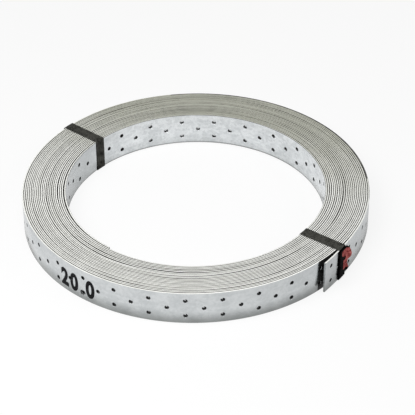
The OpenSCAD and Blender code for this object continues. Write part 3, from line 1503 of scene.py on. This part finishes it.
@dataclass
class Seal:
    """A folded sleeve crimped over the lap of a band, with two lobes bent out along one side.

    Its flat blank goes from -1 to 1 across: the folded leg, then the web over the band, then the lobes.
    Heights along it are in metres where they have a unit, and else shares of its own height.
    """

    band: TieBand
    half_width: float = 7.3 * MM
    sheet: float = 0.8 * MM
    rounding: float = 0.2 * MM
    leg: float = 1.5 * MM
    leg_end: float = -0.8
    web_end: float = 0.3
    notch: float = 11.5 * MM
    notch_width: float = 5 * MM
    bite: float = 2 * MM
    high_lip: float = 6 * MM
    low_lip: float = 3 * MM
    least_lip: float = 2.2 * MM
    least_from: Span = (0.1, 0.2)
    least_to: Span = (0.4, 0.6)
    lip_angle: float = math.radians(50)
    bare_top: float = 0.0
    crumple: float = 0.5 * MM
    crumple_across: float = 2.3
    crumple_size: float = 6 * MM
    crumple_seed: float = 1.7
    crumple_reach: Span = (-0.2, 0.7)
    # Painted shade along the folded side, in a spot, at the top and at the foot
    seal_shade_side: Span = (-0.38, -0.05)
    side_back: float = 0.27
    back_from: Span = (0.66, 0.76)
    shade_spot_at: float = 0.58
    shade_spot_size: float = 3.2 * MM
    shade_spot_reach: Span = (0.0, 0.4)
    seal_shade_top: Span = (-3.6 * MM, -1.2 * MM)
    seal_shade_foot: Span = (3 * MM, 6 * MM)
    columns: int = 24
    rows: int = 34

    @property
    def node(self) -> str:
        """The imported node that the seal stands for."""
        return f"{self.band.name}_seal"

    def build(self) -> Object:
        """Folds, notches and crimps the sleeve.

        Returns:
            The finished piece.
        """
        low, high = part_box(self.node)
        height = high.z - low.z
        mesh = bmesh.new()
        # Painted shade, which the mesh carries for the finish
        seal_shade = mesh.verts.layers.float.new(SEAL_SHADE)
        bmesh.ops.create_grid(mesh, x_segments=self.columns, y_segments=self.rows, size=1.0)
        for corner in mesh.verts:
            across, up = corner.co.x, (corner.co.y + 1) / 2 * height
            corner[seal_shade] = self._seal_shade(across, up, height)
            corner.co = self._folded(across, up, height) + UP * low.z
        metal = SheetMetal(self.sheet, self.rounding, False)
        seal = metal.make(f"{self.band.name}_crimped_seal", mesh, self.band.turned, RedSeal())
        return show(seal, "red_seal", self.node)

    def _folded(self, across: float, up: float, height: float) -> Vector:
        """Finds where a point of the flat blank comes to lie once it is folded.

        Args:
            across: Its place across the blank.
            up: Its height above the lower end, in metres.
            height: The height of the seal, in metres.

        Returns:
            The point, with X pointing out of the coil.
        """
        band = self.band
        web = band.sizes.coil_radius + 2 * band.thickness + self.sheet / 2
        near = max(0.0, 1 - ((up - self.notch) / (self.notch_width / 2)) ** 2)
        half = self.half_width - self.bite * math.sqrt(near)
        y = -half + 2 * half * limited((across - self.leg_end) / (self.web_end - self.leg_end))
        x = math.sqrt(web ** 2 - y ** 2) - self.leg * max(0.0, (self.leg_end - across) / (self.leg_end + 1))
        lip = self._lip(up, height) * max(0.0, (across - self.web_end) / (1 - self.web_end))
        spot = Vector((across * self.crumple_across, up / self.crumple_size, self.crumple_seed))
        uneven = self.crumple * noise.noise(spot) * smooth(*self.crumple_reach, across)
        x += lip * math.sin(self.lip_angle) + uneven + band.over_strap(y)
        return Vector((x, y + lip * math.cos(self.lip_angle), up))

    def _lip(self, up: float, height: float) -> float:
        """Finds how far the lobes are bent out.

        Args:
            up: The height above the lower end, in metres.
            height: The height of the seal, in metres.

        Returns:
            The distance in the plane of the lobes, in metres.
        """
        cut, share = self.notch_width / 2, up / height
        lobes = (
            (0.0, self.notch - cut, self.low_lip),
            (self.notch + cut, height - self.bare_top, self.high_lip),
        )
        lip = self.least_lip * smooth(*self.least_from, share) * (1 - smooth(*self.least_to, share))
        for low, high, rise in lobes:
            chord = high - low
            radius = chord ** 2 / (8 * rise) + rise / 2
            off = up - (low + high) / 2
            if abs(off) < chord / 2:
                lip = max(lip, math.sqrt(radius ** 2 - off ** 2) - radius + rise)
        return lip

    def _seal_shade(self, across: float, up: float, height: float) -> float:
        """Finds how much red is painted black as shade: along the folded side, in a spot and at both ends.

        Args:
            across: The place across the blank.
            up: The height above the lower end, in metres.
            height: The height of the seal, in metres.

        Returns:
            The share of painted shade, from 0 to 1.
        """
        back = self.side_back * smooth(*self.back_from, up / height)
        side = 1 - smooth(*self.seal_shade_side, across + back)
        shade_spot = math.exp(-((up - self.shade_spot_at * height) / self.shade_spot_size) ** 2)
        shade_spot *= 1 - smooth(*self.shade_spot_reach, across)
        top = smooth(*self.seal_shade_top, up - height)
        foot = 1 - smooth(*self.seal_shade_foot, up)
        return max(side, shade_spot, top, foot)


@dataclass(frozen=True)
class Lamp:
    """A soft lamp with a square face. Its azimuth is counted from the camera's, in degrees."""

    name: str
    azimuth: float
    elevation: float
    distance: float
    size: float
    power: float


@dataclass
class Studio:
    """A white studio with soft light, and the camera where the photographer stood."""

    target: Vector
    azimuth: float = 39.48
    elevation: float = 35.664
    roll: float = -0.658
    distance: float = 1.9716
    lens: float = 147.0
    sensor: float = 36.0
    shift: Span = (0.0281, -0.0195)
    floor_half: float = 6.0
    fill: float = 0.42
    lamps: tuple[Lamp, ...] = (
        Lamp("key", -38.0, 58.0, 1.0, 0.7, 7.2),
        Lamp("side", 75.0, 40.0, 2.4, 1.2, 9.0),
    )

    def build(self) -> None:
        """Makes the camera, the world, the floor and the lamps."""
        self._camera()
        self._world()
        self._floor()
        for lamp in self.lamps:
            self._lamp(lamp)

    def _stand(self, name: str, data: Any, angles: Span, distance: float) -> Object:
        """Sets up a camera or lamp that faces the coil.

        Args:
            name: Its name.
            data: What it is.
            angles: Its azimuth from -Y round towards +X and its elevation, in degrees.
            distance: How far it is from the coil, in metres.

        Returns:
            The camera or lamp.
        """
        azimuth, elevation = (math.radians(angle) for angle in angles)
        level = math.cos(elevation)
        back = Vector((math.sin(azimuth) * level, -math.cos(azimuth) * level, math.sin(elevation)))
        made = in_scene(name, data)
        made.location = self.target + back * distance
        made.rotation_mode = "QUATERNION"
        made.rotation_quaternion = (-back).to_track_quat("-Z", "Y")
        return made

    def _camera(self) -> None:
        """Makes the camera."""
        data = bpy.data.cameras.new("photographer")
        data.lens = self.lens
        data.sensor_width = self.sensor
        data.shift_x, data.shift_y = self.shift
        camera = self._stand("photographer", data, (self.azimuth, self.elevation), self.distance)
        rolled = Quaternion(UP, math.radians(self.roll))
        camera.rotation_quaternion = camera.rotation_quaternion @ rolled
        bpy.context.scene.camera = camera
        bpy.context.scene.view_settings.view_transform = "Standard"

    def _lamp(self, lamp: Lamp) -> None:
        """Makes a soft lamp that faces the coil."""
        data = bpy.data.lights.new(lamp.name, "AREA")
        data.shape = "SQUARE"
        data.size = lamp.size
        data.energy = lamp.power
        self._stand(lamp.name, data, (self.azimuth + lamp.azimuth, lamp.elevation), lamp.distance)

    def _world(self) -> None:
        """Makes a world that is white to the eye and softer as light."""
        world = bpy.data.worlds.new("studio")
        world.use_nodes = True
        bpy.context.scene.world = world
        shader = Shader(world.node_tree)
        level = shader.seen(1 - self.fill, 1 - self.fill) + self.fill
        sky = shader.add("ShaderNodeBackground", None, {"Color": grey(1.0), "Strength": level})[0]
        shader.add("ShaderNodeOutputWorld", None, {"Surface": sky})

    def _floor(self) -> None:
        """Makes the floor."""
        mesh = bmesh.new()
        bmesh.ops.create_grid(mesh, x_segments=1, y_segments=1, size=self.floor_half)
        as_object("floor", mesh, [WhitePaper()])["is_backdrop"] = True


def corners(box: Sequence[Vector]) -> list[list[float]]:
    """Returns a box's lowest and highest corner as plain numbers."""
    return [list(corner) for corner in box]


def main() -> None:
    """Builds the coil, its mark, its bands and seals, and the studio."""
    logging.basicConfig(level=logging.INFO, format="%(name)s: %(message)s")
    sizes = StrapSizes()
    punch = HolePunch(sizes)
    StrapCoil(sizes, punch).build()
    LengthMark(sizes, punch).build()
    for name, bare_top in BARE_TOPS.items():
        band = TieBand(name, sizes)
        band.build()
        Seal(band, bare_top=bare_top).build()
    Studio(Vector((0.0, 0.0, sizes.middle))).build()
    {"cad": corners(CAD_BOX), "visual": corners(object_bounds())}


if __name__ == "__main__":
    main()
